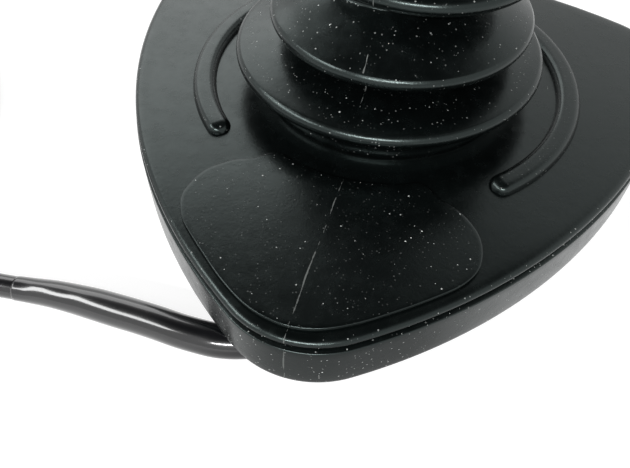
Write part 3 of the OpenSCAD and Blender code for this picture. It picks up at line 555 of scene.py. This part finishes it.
# the soft second and third folds lean to the right: the heights between which each starts to, and
# between which it stops, and by how much; LEAN_BACK is the share of it that goes towards the back
LEANS = [((FOLD_1 + 5.5, FOLD_2 - 1.2), (FOLD_2 + 2, FOLD_2 + 8), 1.8),
         ((FOLD_3 - 4.4, FOLD_3 - 1.4), (FOLD_3 + 1.5, FOLD_3 + 4.4), 5.5)]
LEAN_BACK = 0.15
BELLOWS_AROUND = 160


def fold(r, z, end):
    """Points round a fold's edge, from its underside to end degrees above its middle."""
    for i in range(FOLD_STEPS + 1):
        across, up = polar(FOLD_ROUND, FOLD_UNDERSIDE + (end - FOLD_UNDERSIDE) * i / FOLD_STEPS)
        yield r + across - FOLD_ROUND, z + up


def lean(z):
    """How far to the right the bellows leans at a height."""
    return sum(by * smoothstep(*starts, z) * (1 - smoothstep(*stops, z)) for starts, stops, by in LEANS)


def lathe(name, points):
    """A revolved skin through points of (radius, 0, height), which leans as the bellows does."""
    rings = []
    for r, _, z in points:
        ring = []
        for j in range(BELLOWS_AROUND):
            x, y = polar(r, 360 * j / BELLOWS_AROUND)
            ring.append((x + lean(z), y + LEAN_BACK * lean(z), z))
        rings.append(ring)
    return piece(name, *skin(rings), MAT["rubber_bellows"], body=None)


# radius and height, from the foot in the base's hole to the neck on the stick
PROFILE = [(28.9, TOP - 0.5), (28.9, TOP + 0.6), (29.0, TOP + 2.4), (30.2, TOP + 4.7),
           *fold(FOLD_1_R, FOLD_1, 80), (30.4, FOLD_1 + 2.1), (26.0, FOLD_1 + 2.9), (21.2, FOLD_1 + 3.7),
           (20.2, FOLD_1 + 4.3), (20.9, FOLD_1 + 5.0), (24.0, FOLD_1 + 6.2),
           *fold(FOLD_2_R, FOLD_2, 62), (25.4, FOLD_2 + 2.7), (21.8, FOLD_2 + 4.8), (18.6, FOLD_2 + 6.6),
           (16.4, FOLD_2 + 7.8), (15.7, VALLEY_2), (16.3, FOLD_2 + 9.4), (19.0, FOLD_3 - 2.9),
           *fold(FOLD_3_R, FOLD_3, 74), (20.0, FOLD_3 + 2.6), (17.0, FOLD_3 + 3.6), (14.6, FOLD_3 + 4.5),
           (13.2, FOLD_3 + 5.5), (13.0, FOLD_3 + 7.4), (13.0, FOLD_3 + 10.2)]
line = spline([(r, 0, z) for r, z in PROFILE], per=4)

# the two pieces meet at the edge of the second fold
SPLIT_R, SPLIT_Z = 28, FOLD_2 + 0.2
split = min((i for i, p in enumerate(line) if p.x > SPLIT_R), key=lambda i: abs(line[i].z - SPLIT_Z))
lower = lathe("bellows_lower", line[:split + 1])
upper = lathe("bellows_upper", line[split:])
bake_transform(lower)
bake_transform(upper)
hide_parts("bellows")
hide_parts("bellows")


# ---------------------------------------------------------------- springs, copied where they stand
def bending_copy(name, source, start, end, keep=None):
    """A copy of a spring where the CAD one stands, which it hides; start and end are not used.

    keep is a height and 1 or -1, to keep only what is below or above it.
    """
    cad = frame["nodes"][source]
    me = cad.data.copy()
    me.transform(cad.matrix_world)
    if keep:
        height, up = keep
        bm = bmesh.new()
        bm.from_mesh(me)
        cut = bmesh.ops.bisect_plane(bm, geom=bm.verts[:] + bm.edges[:] + bm.faces[:], dist=1e-7,
                                     plane_co=(0, 0, height), plane_no=(0, 0, up), clear_outer=True)
        rim = [part for part in cut["geom_cut"] if isinstance(part, bmesh.types.BMEdge)]
        bmesh.ops.holes_fill(bm, edges=rim)
        bm.to_mesh(me)
        bm.free()
    ob = link(bpy.data.objects.new(name, me))
    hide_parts(source)
    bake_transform(ob)
    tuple(start)
    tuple(end)


low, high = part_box("centring_spring")
foot, middle, head = (0, 0, low[2]), (0, 0, (low[2] + high[2]) / 2), (0, 0, high[2])
bending_copy("centring_spring_lower", "centring_spring", foot, middle, (middle[2], 1))
bending_copy("centring_spring_upper", "centring_spring", middle, head, (middle[2], -1))
low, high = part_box("button_spring")
bending_copy("button_spring_coil", "button_spring", (0, 0, low[2]), (0, 0, high[2]))
low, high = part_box("trigger_spring")
bending_copy("trigger_spring_coil", "trigger_spring", (0, high[1], low[2]),
             (0, low[1], low[2]))

# ---------------------------------------------------------------- cable
CABLE_D = 5.2
CABLE_Z = CABLE_D / 2 + 0.05

# the strain relief: the points that it follows, and its fullness at each, from 1 to 0 where it meets the lead
BOOT = [(-2.1, -64.4, 6.4), (-6, -65.8, 6.4), (-9.5, -67.2, 6.4), (-13, -68.5, 6.4), (-16.5, -69.2, 6.3),
        (-20, -69.3, 6.1), (-25, -69.1, 5.8), (-30, -68.6, 5.5), (-35, -68.2, 5.1), (-40, -67.9, 4.7),
        (-45, -67.6, 4.3), (-50, -67.4, 3.8), (-55, -67.4, 3.4), (-60, -67.6, 2.8), (-64, -68, CABLE_Z)]
BOOT_TAPER = [1] * 10 + [0.9, 0.65, 0.4, 0.15, 0]
BOOT_R, BOOT_TIP_R = 7.0 / 2, CABLE_D / 2 + 0.1
BOOT_AROUND = 28

# a round coil on the floor, wound inwards, up and outwards again; COIL_R is its middle
COIL_X, COIL_Y = -141.0, -35.0
COIL_R = 30.0
COIL_FROM = -90  # the cable comes in at the coil's front, in degrees
TURNS, PER_TURN = 7.25, 48
# across the coil's section, places are in cable diameters off its middle; each move is from turn, to turn,
# new place
FIRST_PLACE = 1.5
MOVES = [(0.85, 1.0, 0.5), (1.85, 2.0, -0.5), (2.85, 3.0, -1.5), (3.68, 3.84, -1.0), (4.5, 4.66, 0.0),
         (5.33, 5.49, -0.5), (6.08, 6.32, 1.0), (7.03, 7.25, 2.0)]
LAST_PLACE = MOVES[-1][2]
# the moves at which the cable climbs to another row of the pile, or rolls over a strand that lies at a
# place, and the height of such a row
TO_ROW_2, OVER_ROW_1, TO_ROW_3, OVER_ROW_2, DOWN = (move[0] for move in MOVES[3:])
ROW_2_THERE, ROW_3_THERE = MOVES[3][1], MOVES[5][1]
STRAND_1, STRAND_2 = -0.5, 0.0
ROW = 0.866

# the way from the strain relief to the coil, and from the coil to the plug
LEAD_IN_Y = COIL_Y - COIL_R - FIRST_PLACE * CABLE_D
ROUTE = [(-64, -68), (-67, -68.3), (-72, -68.8), (-80, -69.8), (-88, -71), (-96, -72), (-104, LEAD_IN_Y + 0.1),
         (-110, LEAD_IN_Y), (-123, LEAD_IN_Y), (COIL_X, LEAD_IN_Y)]
TAIL_R = COIL_R + LAST_PLACE * CABLE_D
TAIL_STEPS, TAIL_LIFTS = 14, 0.62
PLUG_Y, PLUG_Z = -12.0, 4.05


def over(across, under):
    """Height, in diameters, of a cable that rolls over one that lies at under."""
    return math.sqrt(max(0.0, 1 - (across - under) ** 2))


def coil_at(turn):
    """Radius and height in the coil after so many turns."""
    across = FIRST_PLACE
    for start, end, to in MOVES:
        across += (to - across) * smoothstep(start, end, turn)
    if turn < TO_ROW_2:
        up = 0.0
    elif turn < OVER_ROW_1:
        up = ROW * smoothstep(TO_ROW_2, ROW_2_THERE, turn)
    elif turn < TO_ROW_3:
        up = over(across, STRAND_1)
    elif turn < OVER_ROW_2:
        up = ROW + ROW * smoothstep(TO_ROW_3, ROW_3_THERE, turn)
    elif turn < DOWN:
        up = ROW + over(across, STRAND_2)
    else:
        up = over(across, FIRST_PLACE)
    return COIL_R + across * CABLE_D, CABLE_Z + up * CABLE_D


cable_pts = spline([(x, y, CABLE_Z) for x, y in ROUTE], per=6)
for i in range(1, int(TURNS * PER_TURN) + 1):
    r, z = coil_at(i / PER_TURN)
    x, y = polar(r, COIL_FROM - 360 * i / PER_TURN)
    cable_pts.append(Vector((COIL_X + x, COIL_Y + y, z)))
for i in range(1, TAIL_STEPS + 1):
    y = (PLUG_Y - COIL_Y) * i / TAIL_STEPS
    across = (math.hypot(TAIL_R, y) - COIL_R) / CABLE_D
    z = CABLE_Z + CABLE_D * over(across, FIRST_PLACE)
    lift = smoothstep(TAIL_STEPS * TAIL_LIFTS, TAIL_STEPS - 1, i)
    cable_pts.append(Vector((COIL_X - TAIL_R, COIL_Y + y, z + (PLUG_Z - z) * lift)))


def boot_rings():
    """Rings of the strain relief round its path."""
    path = spline(BOOT, per=6)
    taper = spline([(BOOT_TIP_R + (BOOT_R - BOOT_TIP_R) * full, 0, 0) for full in BOOT_TAPER], per=6)
    for i, p in enumerate(path):
        along = (path[min(i + 1, len(path) - 1)] - path[max(i - 1, 0)]).normalized()
        side = along.cross(Vector((0, 0, 1))).normalized()
        up = side.cross(along)
        ring = []
        for j in range(BOOT_AROUND):
            c, d = polar(taper[i].x, 360 * j / BOOT_AROUND)
            ring.append(tuple(p + c * side + d * up))
        yield ring


boot = piece("strain_relief_boot", *skin(list(boot_rings()), cap_start=True, cap_end=True), MAT["cable_pvc"],
             slot="cable_pvc")
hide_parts("strain_relief")

# the plug's moulded body: a round neck for the cable, then a rounded block with grip ridges
NECK, NECK_R = 7.0, CABLE_D / 2 + 0.5
BLOCK_SQUARENESS = 0.6
END_LENGTH, END_DROP = 1.2, 0.12
RIDGES_FROM, RIDGES_TO = NECK + 1, NECK + 8
RIDGE_DEPTH, RIDGE_PITCH, RIDGE_CUT = 0.05, 3.4, 0.55
PLUG_STEPS, PLUG_AROUND = 60, 48


def plug_rings():
    """Sections of the plug's body along +Y, from the cable's end to the shell's."""
    low, high = (Vector(corner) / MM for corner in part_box("usb_plug"))
    mid, half = (low + high) / 2, (high - low) / 2
    for i in range(PLUG_STEPS + 1):
        at = (high.y - low.y) * i / PLUG_STEPS
        full = smoothstep(0, NECK, at)
        end = 1 - END_DROP * (1 - smoothstep(0, END_LENGTH, high.y - low.y - at))
        cut_in = RIDGES_FROM < at < RIDGES_TO and math.sin(at * RIDGE_PITCH) > RIDGE_CUT
        ridge = 1 - RIDGE_DEPTH * full * cut_in
        wide = (NECK_R + (half.x - NECK_R) * full) * end * ridge
        tall = (NECK_R + (half.z - NECK_R) * full) * end
        power = 1 - BLOCK_SQUARENESS * full
        ring = []
        for j in range(PLUG_AROUND):
            c, d = polar(1, 360 / PLUG_AROUND * j)
            x = mid.x + wide * math.copysign(abs(c) ** power, c)
            z = mid.z + tall * math.copysign(abs(d) ** power, d)
            ring.append((x, low.y + at, z))
        yield ring


plug = piece("usb_plug_body", *skin(list(plug_rings()), cap_start=True, cap_end=True), MAT["plug_black"])
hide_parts("usb_plug")


def tube(name, pts, radius, mat):
    """A curve object that follows points in millimetres."""
    curve = bpy.data.curves.new(name, "CURVE")
    curve.dimensions = "3D"
    path = curve.splines.new("POLY")
    path.points.add(len(pts) - 1)
    for point, p in zip(path.points, pts):
        point.co = (*(p * MM), 1)
    path.use_smooth = True
    curve.bevel_depth = radius * MM
    curve.bevel_resolution = 6
    curve.use_fill_caps = True
    curve.materials.append(mat)
    return link(bpy.data.objects.new(name, curve))


cord = tube("cable_lead", cable_pts, CABLE_D / 2, MAT["cable_pvc"])
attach(cord, "base")
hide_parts("cable", "cable_coil", "cable_tail")

# the tie lies closely round the strands at the back of the coil
TIE_WIDTH, TIE_POINTS, STRAND_POINTS = 3.6, 64, 24
# how far its inside and its outside are from the strands, and from the floor
TIE_INNER, TIE_OUTER = (0.05, 0.32), (0.8, 0.02)
TIE_CROSSED = 60  # long enough to get out of the tie from its middle


def tie_loop(gap, lowest):
    """Points, as (radius, height), of a loop round the strands of every turn at the back of the coil."""
    spots = []
    for turn in range(int(TURNS)):
        r, z = coil_at(turn + 0.5)
        for j in range(STRAND_POINTS):
            c, d = polar(CABLE_D / 2 + gap, 360 / STRAND_POINTS * j)
            spots.append(Vector((r + c, max(lowest, z + d))))
    hull = [spots[j] for j in geometry.convex_hull_2d(spots)]
    centre = sum(hull, Vector((0, 0))) / len(hull)
    for j in range(TIE_POINTS):
        far = centre + Vector(polar(TIE_CROSSED, j * 360 / TIE_POINTS))
        sides = zip(hull, hull[1:] + hull[:1])
        yield next(filter(None, (geometry.intersect_line_line_2d(centre, far, a, b) for a, b in sides)))


inner, outer = list(tie_loop(*TIE_INNER)), list(tie_loop(*TIE_OUTER))
tie_rings = []
for loop, side in ((inner, -1), (outer, -1), (outer, 1), (inner, 1)):
    tie_rings.append([(COIL_X + side * TIE_WIDTH / 2, COIL_Y + q.x, q.y) for q in loop])
tie = piece("cable_tie", *skin(tie_rings, loop=True), MAT["plug_black"], slot="plug_black", smooth=False)

length = sum((b - a).length for a, b in zip(cable_pts, cable_pts[1:])) * MM

# ---------------------------------------------------------------- floor, world and lamps, in metres
WHITE = (1, 1, 1)
FLOOR = [(-3, -3, 0), (3, -3, 0), (3, 3, 0), (-3, 3, 0)]
FLOOR_GREY, FLOOR_ROUGHNESS, FLOOR_GLOW = (0.3, 0.3, 0.3), 0.7, 0.82
# the middle of the painted shadow that reflections see on the floor, just in front of the base
PAINTED_SHADOW_MIDDLE = (0.014, -0.084, 0)
PER_DECIMETRE = 10
# a painted shadow in reflections of the floor: how light the floor is in reflections, by its distance from
# that point in decimetres
REFLECTED_PAINTED_SHADOW = [(0.2, 0.3), (0.52, 1.0)]
# how light the world is as a light, from below, at 0, by the horizon, at 0.5, to overhead, at 1
SKY = [(0.0, 1.0), (0.5, 1.0), (0.64, 0.9), (0.72, 0.62), (0.79, 0.25), (0.88, 0.06), (1.0, 0.03)]
SKY_ON_MATT = 0.5  # its strength for the rays that don't show the background


def ray_kinds(nt):
    """Whether a ray comes from the camera, and whether it is one of the kinds that show the background."""
    rays = node(nt, "ShaderNodeLightPath").outputs
    camera = rays["Is Camera Ray"]
    glossy = maths(nt, "MAXIMUM", camera, rays["Is Glossy Ray"])
    return camera, maths(nt, "MAXIMUM", glossy, rays["Is Transmission Ray"])


def add_floor():
    """A floor that glows white where it is seen, and glows less in reflections near the base, which is a
    painted shadow.
    """
    nt, shader = new_mat("floor")
    feed(nt, shader["Base Color"], FLOOR_GREY)
    feed(nt, shader["Roughness"], FLOOR_ROUGHNESS)
    feed(nt, shader["Emission Color"], WHITE)
    camera_ray, background_ray = ray_kinds(nt)
    # painted shadow: in reflections, the floor's glow fades near the front of the base
    away = node(nt, "ShaderNodeVectorMath", operation="DISTANCE")
    nt.links.new(object_coords(nt), away.inputs[0])
    away.inputs[1].default_value = PAINTED_SHADOW_MIDDLE
    away = maths(nt, "MULTIPLY", away.outputs["Value"], PER_DECIMETRE)
    reflected_painted_shadow = maths(nt, "MULTIPLY", background_ray, ramp(nt, away, REFLECTED_PAINTED_SHADOW, "EASE"))
    seen = maths(nt, "MAXIMUM", camera_ray, reflected_painted_shadow)
    feed(nt, shader["Emission Strength"], maths(nt, "MULTIPLY", seen, FLOOR_GLOW))
    me = bpy.data.meshes.new("floor")
    me.from_pydata(FLOOR, [], [(0, 1, 2, 3)])
    me.materials.append(MAT["floor"])
    link(bpy.data.objects.new("floor", me))


def add_world():
    """A world that is white to the camera, and as a light fades from the horizon upwards."""
    world = bpy.data.worlds.new("world")
    bpy.context.scene.world = world
    world.use_nodes = True
    nt = world.node_tree
    camera_ray, background_ray = ray_kinds(nt)
    direction = split_xyz(nt, node(nt, "ShaderNodeTexCoord").outputs["Generated"])
    share = maths(nt, "MULTIPLY_ADD", background_ray, 1 - SKY_ON_MATT, SKY_ON_MATT)
    light = maths(nt, "MULTIPLY", ramp(nt, direction["Z"], SKY), share)
    background = nt.nodes["Background"].inputs
    feed(nt, background["Color"], WHITE)
    feed(nt, background["Strength"], maths(nt, "MAXIMUM", camera_ray, light))


def lamp(name, at, target, size, watts):
    """A rectangular lamp, turned to its target."""
    data = bpy.data.lights.new(name, "AREA")
    data.shape = "RECTANGLE"
    data.size, data.size_y = size
    data.energy = watts
    ob = link(bpy.data.objects.new(name, data))
    ob.location = at
    ob.rotation_euler = (Vector(target) - Vector(at)).to_track_quat("-Z", "Y").to_euler()


add_floor()
add_world()
lamp("overhead_left", (-1.25, -0.62, 1.12), (-0.1, -0.07, 0), (1.2, 0.35), 14)
lamp("back_left", (-1.05, 1.26, 1.15), (0, 0, 0), (1.6, 0.85), 7)
lamp("front_strip", (0.1, -1.3, 0.9), (0, 0, 0), (0.9, 0.1), 20)

bpy.context.scene.view_settings.view_transform = "Standard"
